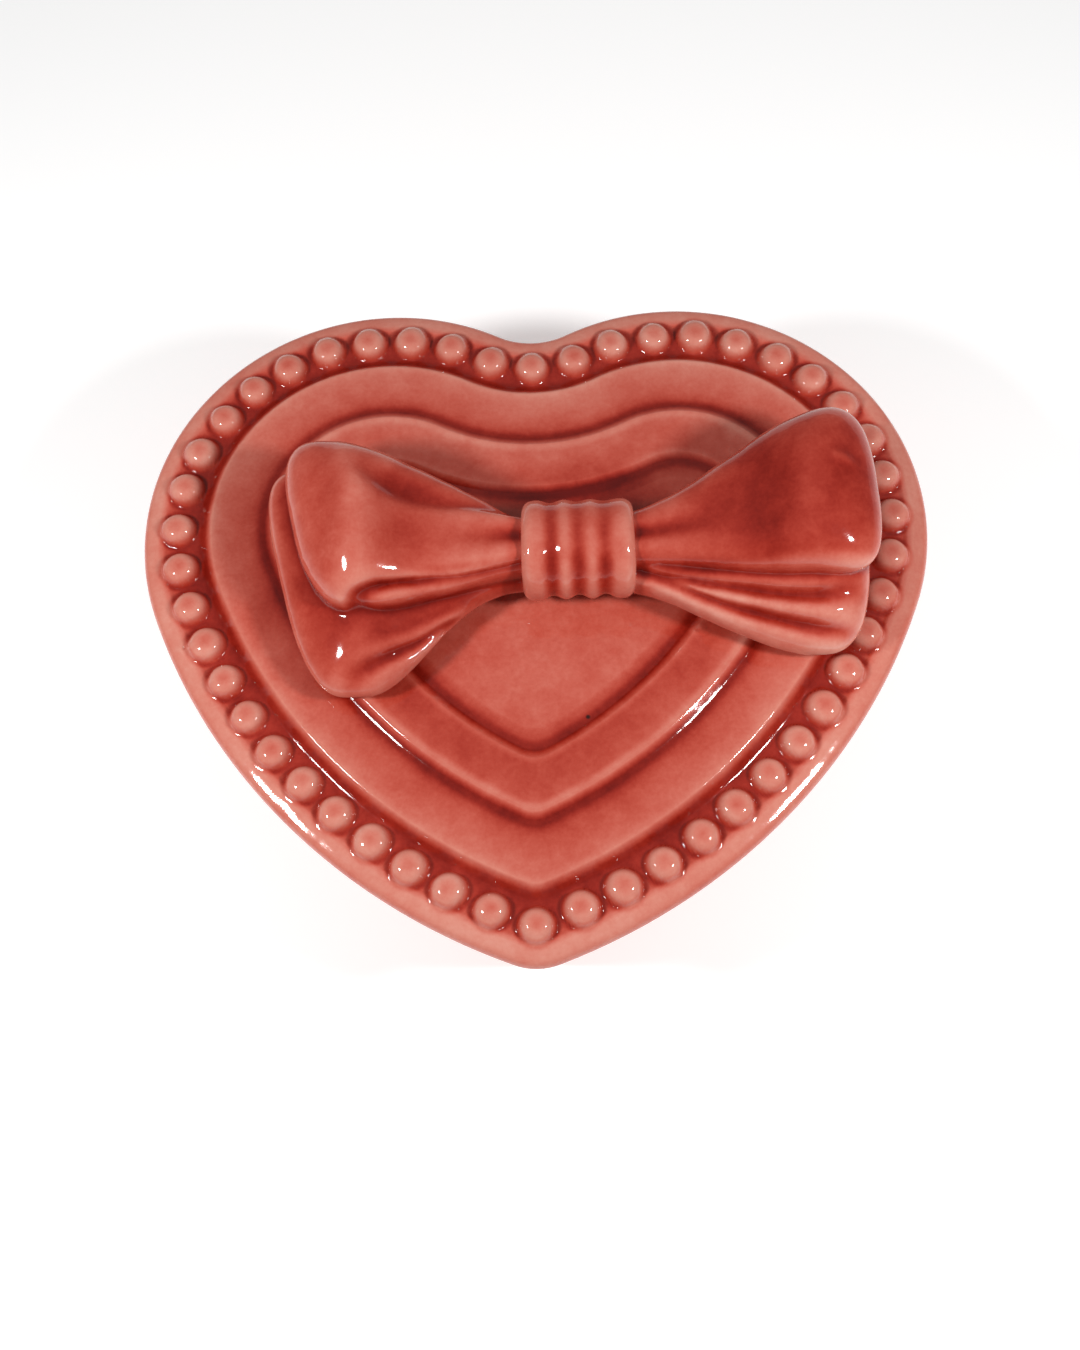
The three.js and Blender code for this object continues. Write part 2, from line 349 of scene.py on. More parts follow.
# The beads, as domes that the glaze joins softly to the channel.
bead_line = lid_outline.ring(BEAD_INSET)
bead_step = LID_AROUND // BEADS
bead_centres = bead_line[::bead_step]
rng = np.random.default_rng(11)
bead_size = rng.uniform(0.97, 1.03, BEADS)
bead_nudge = rng.normal(0, 0.07, (BEADS, 2))
BEAD_RADIUS = 3.02
BEAD_TOP = SEAT + 6.45
BEAD_FOOT = CHANNEL - 0.9
DOME_POWER = 3.3
BEAD_FILLET = 0.9
OUTER_FILLET = 2.5  # on the side towards the rim, where the glaze runs from bead to rim
bead_away = np.full(lid_rings.shape[:2], 9.0)
for r in range(len(lid_profile)):
    if not top_side[r] or not 1.6 < lid_profile[r, 0] < 11.5:  # out of the beads' reach
        continue
    owner = (np.arange(LID_AROUND) + bead_step // 2) // bead_step % BEADS
    offset = lid_rings[r, :, :2] - bead_centres[owner] - bead_nudge[owner]
    away = np.linalg.norm(offset, axis=1) / (BEAD_RADIUS * bead_size[owner])
    bead_away[r] = away
    dome = (1 - np.clip(away, 0, 1) ** DOME_POWER) ** 0.5
    bead_z = BEAD_FOOT + (BEAD_TOP - BEAD_FOOT) * dome - 6 * np.clip(away - 1, 0, None)
    fillet = OUTER_FILLET + (BEAD_FILLET - OUTER_FILLET) * smooth_step((lid_profile[r, 0] - 3.6) / 1.6)
    lid_rings[r, :, 2] = smooth_max(lid_rings[r, :, 2], bead_z, fillet)

# A cast and sponged surface is never quite true.
flat_xy = lid_rings[:, :, :2].reshape(-1, 2)
lid_wobble = 0.10 * unevenness(flat_xy, 3, 34) + 0.035 * unevenness(flat_xy, 4, 11)
on_relief = ((lid_inset > 0.8) & (lid_inset < 4.5)) | ((lid_inset > 9) & (lid_inset < 12.5))
lid_wobble += on_relief.ravel() * 0.05 * unevenness(flat_xy, 5, 5)
lid_rings[:, :, 2] += lid_wobble.reshape(lid_rings.shape[:2]) * top_side[:, None]

for x, y, radius, height in BUBBLES:
    away = np.hypot(lid_rings[:, :, 0] - x, lid_rings[:, :, 1] - y) / radius
    crater = np.exp(-away ** 2) - 1.3 * np.exp(-(away / 0.42) ** 2)
    lid_rings[:, :, 2] += top_side[:, None] * height * crater

under_centre = np.array([*MIDDLE, LID_HOLLOW])
panel_centre = np.array([*MIDDLE, PANEL])
under_rings = toward_centre(lid_rings[0], under_centre, INNER_SHARES[::-1])
panel_rings = toward_centre(lid_rings[-1], panel_centre, INNER_SHARES)
panel_rings[:, :, 2] = PANEL + 0.10 * unevenness(panel_rings[:, :, :2].reshape(-1, 2), 3, 34).reshape(
    panel_rings.shape[:2])
lid_all = np.concatenate([under_rings, lid_rings, panel_rings])
lid_verts = np.vstack([lid_all.reshape(-1, 3), under_centre, panel_centre])
lid = mesh_object("lid_glazed", lid_verts, ring_faces(lid_all.shape[0], LID_AROUND))

# ---------------------------------------------------------------- bowl

BOWL_AROUND = 480
FOOT_RECESS = 1.5  # height of the underside within the foot ring
BOWL_FLOOR = 5.0  # height of the inner floor
bowl_outline = Outline(BOWL_AROUND)
bowl_profile = rounded([
    (15.0, FOOT_RECESS, 0),
    (12.4, FOOT_RECESS, 0.8),
    (11.5, 0.0, 0.5),
    (8.0, 0.0, 0.5),
    (7.2, 2.4, 0.8),
    (5.8, 5.0, 2.0),
    (4.6, 14.0, 8.0),
    (3.3, 24.0, 8.0),
    (3.0, SEAT - 1.5, 2.0),
    (3.4, SEAT - 0.1, 0.9),
    (7.8, SEAT - 0.1, 0.9),
    (8.0, SEAT - 1.0, 0.8),
    (8.4, 22.0, 8.0),
    (10.2, 12.0, 8.0),
    (12.5, 6.6, 3.0),
    (15.5, BOWL_FLOOR, 3.0),
    (19.0, BOWL_FLOOR, 0),
], spacing=0.9)
bowl_rings = heart_body(bowl_outline, bowl_profile)
bowl_under = np.array([*MIDDLE, FOOT_RECESS])
bowl_floor = np.array([*MIDDLE, BOWL_FLOOR])
bowl_all = np.concatenate([
    toward_centre(bowl_rings[0], bowl_under, INNER_SHARES[::-1]),
    bowl_rings,
    toward_centre(bowl_rings[-1], bowl_floor, INNER_SHARES),
])
bowl_verts = np.vstack([bowl_all.reshape(-1, 3), bowl_under, bowl_floor])
bowl = mesh_object("bowl_glazed", bowl_verts, ring_faces(bowl_all.shape[0], BOWL_AROUND))

# ---------------------------------------------------------------- bow

BOW_CENTRE = np.array([7.3, 6.5, TIER_TWO])
BOW_TURN = math.radians(1)
KNOT_HALF = 8.8  # half its length
KNOT_SHOULDER = 1.8  # how far in from its ends the knot's edge is rounded
KNOT_RADIUS_Y, KNOT_RADIUS_Z = 7.9, 7.7
RIB = 4.1  # from one rib of the knot to the next
RIB_DEPTH = 0.85
LOBE_START = 8.2  # under the knot's band
END_ROUNDING = 0.2  # share of a lobe's length over which its end rounds off
SHORT_OF_CLOSED = 0.995  # the last section's place in that rounding, which a fan of faces closes
LEAST_Z = 0.05  # clearance between the bow and the lid

# Each loop is two lobes of one folded ribbon. A lobe fans out from the knot: the centre (y, z) and the
# half-sizes (wide, tall) of its rounded cross-section go from the neck's to the end's by a share reach of
# its length. Square and corner say how square the section and the end's plan are, ease how early it fans
# out, slant and tilt how the end leans in plan and in height, and puff how much it swells near puff_at.
# A fold is a valley pressed into a lobe's upper side: where it runs, as x outward along the bow and y
# towards the notch, and how deep and how wide it is at each of those points. The x and y lists of nine or
# ten points weren't chosen by hand: a scratch program worked most of them out from the photo.
LEFT_LOBES = [
    dict(length=44.6, square=2.5, reach=0.82, ease=0.75, corner=2.6, puff=2.9, puff_at=33.5, puff_reach=4.9,
         neck=dict(y=0.4, z=9.0, wide=5.0, tall=4.4),
         end=dict(y=4.2, z=10.6, wide=14.4, tall=5.6, slant=3.2, tilt=0.0),
         folds=[
             # the crease that opens into a pocket along the front of the puff
             dict(x=(9, 12.3, 15.3, 18.3, 21.2, 24.2, 27.2, 30.1, 33.3, 36.0),
                  y=(-4.0, -4.7, -5.4, -6.1, -6.6, -7.0, -7.4, -8.1, -9.2, -10.0), spread=1.3,
                  deep=(0.8, 0.9, 0.9, 0.9, 1.0, 1.5, 2.3, 2.5, 1.7, 0.0),
                  wide=(0.35, 0.35, 0.35, 0.4, 0.45, 0.5, 0.6, 0.7, 0.8, 0.9)),
             dict(x=(9, 14, 20, 26), y=(-3.2, -4.1, -5.0, -5.6),
                  deep=(0.35, 0.35, 0.25, 0.0), wide=(0.3, 0.3, 0.4, 0.5)),
             # the pinch that runs out of the knot over the top
             dict(x=(8, 12, 17, 21, 24, 27, 30.1, 32.4, 36),
                  y=(4.6, 5.4, 5.9, 5.9, 6.5, 7.3, 8.9, 10.6, 13.4), spread=0.6,
                  deep=(0.9, 0.9, 0.8, 0.8, 0.9, 1.0, 1.0, 0.8, 0.0),
                  wide=(1.2, 1.5, 2.0, 2.4, 2.8, 3.2, 3.5, 3.8, 4.0)),
             dict(x=(9, 12, 16, 22), y=(0.4, 0.4, 0.0, -0.4),
                  deep=(1.0, 0.9, 0.5, 0.0), wide=(1.2, 1.5, 1.9, 2.3)),
         ]),
    dict(length=47.2, square=2.3, reach=0.78, ease=1.1, corner=3.2, puff=2.3, puff_at=33.8, puff_reach=5.6,
         neck=dict(y=0.0, z=4.8, wide=5.4, tall=3.8),
         end=dict(y=-2.8, z=4.5, wide=19.0, tall=4.2, slant=4.4, tilt=0.07),
         folds=[
             dict(x=(10, 14, 18.7, 21.8, 24.8, 27.9, 31.1, 34.2, 37.5),
                  y=(-5.8, -7.9, -10.3, -12.0, -14.0, -15.5, -17.2, -18.8, -20.3), spread=1.25,
                  deep=(0.5, 0.8, 0.9, 1.1, 1.3, 1.4, 1.4, 1.0, 0.0),
                  wide=(0.3, 0.35, 0.4, 0.5, 0.65, 0.85, 1.1, 1.5, 1.9)),
             dict(x=(12, 18, 24, 30, 36), y=(-6.1, -8.4, -11.0, -13.2, -15.0),
                  deep=(0.25, 0.35, 0.35, 0.3, 0.0), wide=(0.5, 0.7, 1.0, 1.4, 1.9)),
         ]),
]
RIGHT_LOBES = [
    dict(length=46.6, square=2.4, reach=0.9, ease=0.8, corner=3.2, puff=2.3, puff_at=35.5, puff_reach=6.0,
         neck=dict(y=0.2, z=9.4, wide=4.6, tall=4.6),
         end=dict(y=6.5, z=12.5, wide=14.0, tall=5.2, slant=-0.6, tilt=-0.03),
         folds=[
             dict(x=(9, 13, 18, 24), y=(-0.2, 0.0, 0.5, 1.2),
                  deep=(0.9, 0.8, 0.4, 0.0), wide=(1.2, 1.5, 2.0, 2.8)),
             # a small raised mark near the outer corner
             dict(x=(38, 40, 41.5, 43), y=(9.4, 9.0, 8.5, 7.8), deep=(0.0, -0.3, -0.3, 0.0),
                  wide=(0.8, 0.8, 0.8, 0.8)),
         ]),
    dict(length=45.4, square=2.3, reach=0.8, ease=0.72, corner=3.0, puff=0.9, puff_at=37.0, puff_reach=6.0,
         neck=dict(y=-0.5, z=6.2, wide=6.2, tall=5.2),
         end=dict(y=-1.9, z=7.3, wide=15.1, tall=5.6, slant=0.5, tilt=0.3),
         folds=[
             # the crease along the foot of the puff
             dict(x=(10, 16, 24, 32, 38, 43), y=(-3.6, -4.4, -5.2, -5.9, -6.2, -5.8), spread=1.3,
                  deep=(0.6, 1.2, 1.6, 1.6, 1.3, 0.2), wide=(0.5, 0.8, 1.0, 1.1, 1.1, 1.1)),
             dict(x=(9, 14, 18.6, 23, 27.6, 32, 36.6, 40.5, 45),
                  y=(-5.0, -6.4, -7.4, -8.1, -8.9, -9.6, -10.0, -9.6, -8.8), spread=1.3,
                  deep=(0.8, 1.2, 1.5, 1.7, 1.9, 2.0, 1.9, 1.1, 0.1),
                  wide=(0.35, 0.45, 0.55, 0.65, 0.75, 0.85, 1.0, 1.3, 1.6)),
             dict(x=(9, 14, 18.5, 23, 27.6, 32, 36.7, 40.7, 44.5),
                  y=(-5.5, -7.3, -9.3, -11.0, -12.3, -13.5, -14.6, -15.1, -15.2), spread=1.1,
                  deep=(0.8, 1.2, 1.5, 1.8, 2.0, 2.0, 1.8, 1.0, 0.1),
                  wide=(0.35, 0.45, 0.55, 0.65, 0.75, 0.85, 1.0, 1.2, 1.4)),
         ]),
]


def superellipse(angle, power):
    return (np.abs(np.cos(angle)) ** power + np.abs(np.sin(angle)) ** power) ** (-1 / power)


def round_off(closing, power):
    return (1 - (SHORT_OF_CLOSED * closing) ** power) ** (1 / power)


def smooth_interp(x, xs, ys):
    """Interpolation through the given values with no kinks, by cubic Hermite pieces."""
    xs, ys = np.asarray(xs, float), np.asarray(ys, float)
    slopes = np.gradient(ys, xs)
    x = np.clip(x, xs[0], xs[-1])
    i = np.clip(np.searchsorted(xs, x) - 1, 0, len(xs) - 2)
    width = xs[i + 1] - xs[i]
    s = (x - xs[i]) / width
    return ((2 * s ** 3 - 3 * s ** 2 + 1) * ys[i] + (s ** 3 - 2 * s ** 2 + s) * width * slopes[i]
            + (-2 * s ** 3 + 3 * s ** 2) * ys[i + 1] + (s ** 3 - s ** 2) * width * slopes[i + 1])


def fold_depth(fold, x, y):
    """How deep the fold is at points of the lobe's plan."""
    line = smooth_interp(x, fold["x"], fold["y"])
    deep = np.interp(x, fold["x"], fold["deep"])
    wide = smooth_interp(x, fold["x"], fold["wide"])
    wide = np.where(y < line, wide * fold.get("spread", 1.0), wide)
    inside = (x >= fold["x"][0] - 1) & (x <= fold["x"][-1])
    return np.where(inside, deep * np.exp(-((y - line) / wide) ** 2), 0.0)


def closed(rings):
    """A closed body from rings of points: its verts and its faces."""
    verts = np.vstack([rings.reshape(-1, 3), rings[0].mean(axis=0), rings[-1].mean(axis=0)])
    return verts, ring_faces(*rings.shape[:2])


def lobe_mesh(lobe):
    sections, around = 150, 320
    neck, end = lobe["neck"], lobe["end"]
    angle = np.arange(around) * 2 * math.pi / around
    shares = np.sin(np.linspace(0, math.pi / 2, sections))
    rings = np.empty((sections, around, 3))
    for s, t in enumerate(shares):
        fan = smooth_step(t / lobe["reach"]) ** lobe["ease"]
        closing = max(0.0, 1 - (1 - t) / END_ROUNDING)
        grow = {key: neck[key] + (end[key] - neck[key]) * fan for key in neck}
        wide = grow["wide"] * round_off(closing, lobe["corner"])
        tall = grow["tall"] * round_off(closing, 2.2)
        pull = superellipse(angle, lobe["square"])
        y = wide * pull * np.cos(angle)
        x = LOBE_START + (lobe["length"] - LOBE_START) * t + end["slant"] * fan * y / end["wide"]
        swell = lobe["puff"] * np.exp(-((x - lobe["puff_at"]) / lobe["puff_reach"]) ** 2)
        swell = np.where(np.sin(angle) > 0, swell * min(1.0, tall / 4), 0)
        z = (tall + swell) * pull * np.sin(angle) + end["tilt"] * y * fan
        sink = sum(fold_depth(fold, x, grow["y"] + y) for fold in lobe["folds"])
        sink = sink * np.clip(np.sin(angle) * 3 + 0.6, 0, 1) * min(1.0, tall / 2.5)
        inward_y, inward_z = -np.cos(angle) / grow["wide"], -np.sin(angle) / grow["tall"]
        length = np.hypot(inward_y, inward_z)
        rings[s, :, 0] = x
        rings[s, :, 1] = grow["y"] + y + sink * inward_y / length
        rings[s, :, 2] = np.maximum(LEAST_Z, grow["z"] + z + sink * inward_z / length)
    return closed(rings)


def applied(obj):
    """The object with its modifiers applied to its mesh."""
    evaluated = obj.evaluated_get(bpy.context.evaluated_depsgraph_get())
    mesh = bpy.data.meshes.new_from_object(evaluated)
    old = obj.data
    obj.modifiers.clear()
    obj.data = mesh
    bpy.data.meshes.remove(old)
    mesh.shade_smooth()
    return obj


VOXEL = 0.34


def fused(name, parts, smoothing):
    """One body from overlapping closed parts, its creases softened as glaze softens them."""
    verts, faces, start = [], [], 0
    for v, f in parts:
        verts.append(v)
        faces += [[i + start for i in face] for face in f]
        start += len(v)
    obj = mesh_object(name, np.vstack(verts), faces)
    remesh = obj.modifiers.new("fuse", "REMESH")
    remesh.mode = "VOXEL"
    remesh.voxel_size = VOXEL * MM
    remesh.adaptivity = 0
    bpy.context.view_layer.update()
    applied(obj)
    points, edges = mesh_arrays(obj)
    set_verts(obj, blurred(points, edges, smoothing))
    points, normals = mesh_arrays(obj)[0], vertex_normals(obj)
    uneven = 0.14 * unevenness(points, 31, 11) + 0.05 * unevenness(points, 32, 4)
    uneven *= np.clip(points[:, 2] - points[:, 2].min(), 0, 1)
    set_verts(obj, points + normals * uneven[:, None])
    return obj


def place_in_bow(verts):
    c, s = math.cos(BOW_TURN), math.sin(BOW_TURN)
    turned = verts @ np.array([[c, s, 0], [-s, c, 0], [0, 0, 1]])
    return turned + BOW_CENTRE


def loop_parts(lobes, side):
    parts = []
    for lobe in lobes:
        verts, faces = lobe_mesh(lobe)
        verts = verts * (side, 1, 1)
        if side < 0:
            faces = [face[::-1] for face in faces]
        parts.append((place_in_bow(verts), faces))
    return parts


def knot_mesh():
    sections, around = 150, 200
    rings = np.empty((sections, around, 3))
    angle = np.arange(around) * 2 * math.pi / around
    for s in range(sections):
        u = -math.cos(math.pi * s / (sections - 1))
        x = KNOT_HALF * u
        shoulder = max(0.0, (abs(x) - (KNOT_HALF - KNOT_SHOULDER)) / KNOT_SHOULDER)
        rib = math.cos(math.pi * x / RIB) ** 2 if abs(x) < 1.5 * RIB else 0.0
        # the valleys are shallower over the top than down the front, most of all at the right
        on_top = 0.7 if x < -RIB / 2 else 0.4
        front = on_top + (1 - on_top) * smooth_step((-np.cos(angle) - 0.35) / 0.4)
        shrink = RIB_DEPTH * rib * front
        shrink = shrink + KNOT_SHOULDER * (1 - math.sqrt(max(0.0, 1 - SHORT_OF_CLOSED * shoulder ** 2)))
        rings[s, :, 0] = x
        rings[s, :, 1] = (KNOT_RADIUS_Y - shrink) * np.cos(angle)
        rings[s, :, 2] = np.maximum(LEAST_Z, KNOT_RADIUS_Z + (KNOT_RADIUS_Z - shrink) * np.sin(angle))
    verts, faces = closed(rings)
    return place_in_bow(verts), faces


loop_left = fused("bow_loop_left_glazed", loop_parts(LEFT_LOBES, -1), 8)
loop_right = fused("bow_loop_right_glazed", loop_parts(RIGHT_LOBES, 1), 8)
knot = fused("bow_knot_glazed", [knot_mesh()], 6)

# ---------------------------------------------------------------- how thick the glaze lies, with painted shade and light


# How thick the glaze lies on the lid's upper side, by how far in from the outline.
POOL_BY_INSET = np.array([
    (0.0, 0.42), (0.6, 0.31), (1.5, 0.24), (2.8, 0.24), (3.5, 0.36), (4.2, 0.52), (5.2, 0.62), (7.0, 0.71),
    (8.6, 0.76), (10.0, 0.83), (10.8, 0.76), (11.4, 0.50), (12.0, 0.30), (13.2, 0.41), (15.0, 0.46),
    (18.0, 0.54), (19.2, 0.64), (20.1, 0.84), (20.9, 0.85), (21.5, 0.62), (22.1, 0.36), (22.7, 0.32),
    (23.6, 0.45), (26.0, 0.52), (28.6, 0.55), (29.6, 0.48), (30.2, 0.64), (30.8, 0.86), (31.7, 0.84),
    (32.6, 0.62), (33.8, 0.51), (36.0, 0.46),
])
# The same on a bead, by how far from its middle, as a share of its radius.
POOL_BY_BEAD = np.array([
    (0.0, 0.42), (0.25, 0.37), (0.55, 0.28), (0.74, 0.27), (0.86, 0.40), (0.97, 0.58), (1.12, 0.74),
])


# Painted shade on the lid round the bow's foot: the shadow behind the knot, the shadow to the left of the
# left loop and the shade along the left loop's front edge. Centre x and y, reach along x and y, amount.
LID_PAINTED_SHADE = [
    (12.0, 19.0, 14.0, 4.5, 0.30),
    (-40.0, 8.0, 4.5, 14.0, 0.12),
    (-14.0, -6.0, 5.0, 4.0, 0.06),
]


def lid_glaze_and_shade():
    glaze_and_shade = np.interp(lid_inset, *POOL_BY_INSET.T)
    on_bead = np.interp(bead_away, *POOL_BY_BEAD.T)
    outer = smooth_step((4.2 - lid_inset) / 1.2)
    on_bead = on_bead - 0.34 * outer * smooth_step((bead_away - 0.8) / 0.25)
    off = smooth_step((bead_away - 1.06) / 0.30)
    glaze_and_shade = np.where(bead_away < 1.4, on_bead * (1 - off) + glaze_and_shade * off, glaze_and_shade)
    # Painted light: the tiers paler towards the back; tier two darker towards the front.
    glaze_and_shade -= 0.06 * smooth_step((lid_rings[:, :, 1] - 8) / 30) * (lid_inset > 11.5)
    on_tier_two = smooth_step((lid_inset - 22.4) / 1.5) * smooth_step((30 - lid_inset) / 1.5)
    glaze_and_shade += 0.08 * on_tier_two * smooth_step((2 - lid_rings[:, :, 1]) / 15)
    under = np.full((len(INNER_SHARES), LID_AROUND), 0.5)
    panel = np.full((len(INNER_SHARES), LID_AROUND), 0.45)
    glaze_and_shade = np.concatenate([under, glaze_and_shade, panel])
    # Painted shade round the bow's foot.
    for x, y, reach_x, reach_y, amount in LID_PAINTED_SHADE:
        away = ((lid_all[:, :, 0] - x) / reach_x) ** 2 + ((lid_all[:, :, 1] - y) / reach_y) ** 2
        glaze_and_shade += amount * np.exp(-away)
    glaze_and_shade[:len(INNER_SHARES) + int(np.argmax(top_side))] = 0.5
    return glaze_and_shade.ravel()


def in_bow(verts):
    """Points as x along the bow, y towards the notch and z above what the bow stands on."""
    c, s = math.cos(BOW_TURN), math.sin(BOW_TURN)
    return (verts - BOW_CENTRE) @ np.array([[c, -s, 0], [s, c, 0], [0, 0, 1]])


# Painted shade in the joins where the loops meet the knot.
def shade_beside_knot(verts):
    x = np.abs(in_bow(verts)[:, 0])
    return 0.30 * np.exp(-((x - KNOT_HALF) / 1.9) ** 2)


def left_layers(verts):
    """Darker on the layer under the puff than over the puff, thickest in the dip on the puff's top, with
    painted shade beside the knot.
    """
    x, y, z = in_bow(verts).T
    dip = 0.22 * np.exp(-((-x - 25) / 6) ** 2 - ((y - 8.5) / 3.2) ** 2)
    return 0.70 - 0.08 * smooth_step((z - 10) / 5) + dip + shade_beside_knot(verts)


def right_layers(verts):
    """Thick over the puff and thin over the pleats in front of it, with a painted shadow in the crease under
    the puff's front and painted shade beside the knot.
    """
    x, y, _ = in_bow(verts).T
    over_puff = 0.14 + 0.10 * smooth_step((x - 16) / 14)
    # Painted shadow along the crease under the puff's front edge.
    shadow_under_puff = 0.14 * np.exp(-((y + 5.4) / 0.9) ** 2) * smooth_step((x - 10) / 6)
    return 0.60 + over_puff * smooth_step((y + 6.5) / 3) + shadow_under_puff + shade_beside_knot(verts)


def between_ribs(verts):
    x, y, _ = in_bow(verts).T
    valleys = np.where(np.abs(x) < 1.5 * RIB, np.cos(math.pi * x / RIB) ** 4, 0.0)
    return 0.12 * valleys * smooth_step((6 - y) / 8)


def glaze_depth(obj, base, small_gain, large_gain, fine=10, broad=110):
    """Writes the colour attribute: about 0.5 on even surfaces, towards 1 in hollows and 0 on crests, added
    to a base that on the lid and the loops also carries painted shade and light.
    """
    verts, edges = mesh_arrays(obj)
    normals = vertex_normals(obj)
    if callable(base):
        base = base(verts)
    small = hollow_depth(verts, normals, edges, fine)
    large = hollow_depth(verts, normals, edges, broad)
    flow = 0.045 * unevenness(verts, 21, 26) + 0.05 * unevenness(verts, 22, 8)
    large = np.where(large > 0, 0.3 * large, large)
    depth = base + small_gain * small + large_gain * large + flow
    set_attribute(obj, "glaze_and_shade", np.clip(depth, 0, 1))


def wiped(height, top, bottom, where):
    """1 where the glaze was wiped off before firing, so that the bare clay shows, with a wandering edge."""
    level = height + 0.12 * unevenness(where, 41, 9)
    return smooth_step((top - level) / 0.15) * smooth_step((level - bottom) / 0.15)


def bare_clay(obj, top, bottom, inside=None):
    verts, _ = mesh_arrays(obj)
    bare = wiped(verts[:, 2], top, bottom, verts[:, :2])
    if inside is not None:
        bare *= inside(verts, vertex_normals(obj))
    set_attribute(obj, "bare", bare)


bare_clay(bowl, 0.45, -1)
bare_clay(lid, SEAT + 0.3, SEAT - 5, lambda verts, normals: (normals[:, 2] < -0.2).astype(float))
glaze_depth(lid, np.append(lid_glaze_and_shade(), [0.5, 0.45]), 0.3, 0.0, broad=1)
glaze_depth(bowl, 0.5, 0.6, 0.3)
glaze_depth(loop_left, left_layers, 1.4, 0.28, broad=240)
glaze_depth(loop_right, right_layers, 1.4, 0.34, broad=240)
glaze_depth(knot, lambda verts: 0.57 + between_ribs(verts), 1.3, 0.30)

# ---------------------------------------------------------------- materials


def ramp(tree, stops, factor):
    made = tree.nodes.new("ShaderNodeValToRGB")
    made.color_ramp.interpolation = "B_SPLINE" if len(stops) > 3 else "EASE"
    elements = made.color_ramp.elements
    while len(elements) > 1:
        elements.remove(elements[-1])
    elements[0].position, elements[0].color = stops[0][0], (*stops[0][1], 1)
    for position, colour in stops[1:]:
        elements.new(position).color = (*colour, 1)
    tree.links.new(factor, made.inputs["Fac"])
    return made.outputs["Color"]


def math_node(tree, operation, a, b):
    made = tree.nodes.new("ShaderNodeMath")
    made.operation = operation
    for i, value in enumerate((a, b)):
        if isinstance(value, (int, float)):
            made.inputs[i].default_value = value
        else:
            tree.links.new(value, made.inputs[i])
    return made.outputs[0]


def noise(tree, coords, scale, detail, roughness=0.5, distortion=0.0):
    made = tree.nodes.new("ShaderNodeTexNoise")
    made.inputs["Scale"].default_value = scale
    made.inputs["Detail"].default_value = detail
    made.inputs["Roughness"].default_value = roughness
    made.inputs["Distortion"].default_value = distortion
    tree.links.new(coords, made.inputs["Vector"])
    return made.outputs["Fac"]


def added(tree, total, field, amount):
    """The total plus a noise field centred on 0 and scaled to the amount."""
    centred = math_node(tree, "SUBTRACT", field, 0.5)
    return math_node(tree, "ADD", total, math_node(tree, "MULTIPLY", centred, amount))


def near_point(tree, coords, point_mm, radius_mm):
    """1 at the point, falling to 0 at the radius."""
    gap = tree.nodes.new("ShaderNodeVectorMath")
    gap.operation = "DISTANCE"
    tree.links.new(coords, gap.inputs[0])
    gap.inputs[1].default_value = tuple(v * MM for v in point_mm)
    fall = tree.nodes.new("ShaderNodeMapRange")
    fall.interpolation_type = "SMOOTHSTEP"
    tree.links.new(gap.outputs["Value"], fall.inputs["Value"])
    fall.inputs["From Min"].default_value = 0.35 * radius_mm * MM
    fall.inputs["From Max"].default_value = radius_mm * MM
    fall.inputs["To Min"].default_value = 1.0
    fall.inputs["To Max"].default_value = 0.0
    return fall.outputs["Result"]


def mixed(tree, factor, a, b):
    made = tree.nodes.new("ShaderNodeMix")
    made.data_type = "RGBA"
    tree.links.new(factor, made.inputs["Factor"])
    for socket, value in ((made.inputs["A"], a), (made.inputs["B"], b)):
        if isinstance(value, tuple):
            socket.default_value = (*value, 1)
        else:
            tree.links.new(value, socket)
    return made.outputs["Result"]


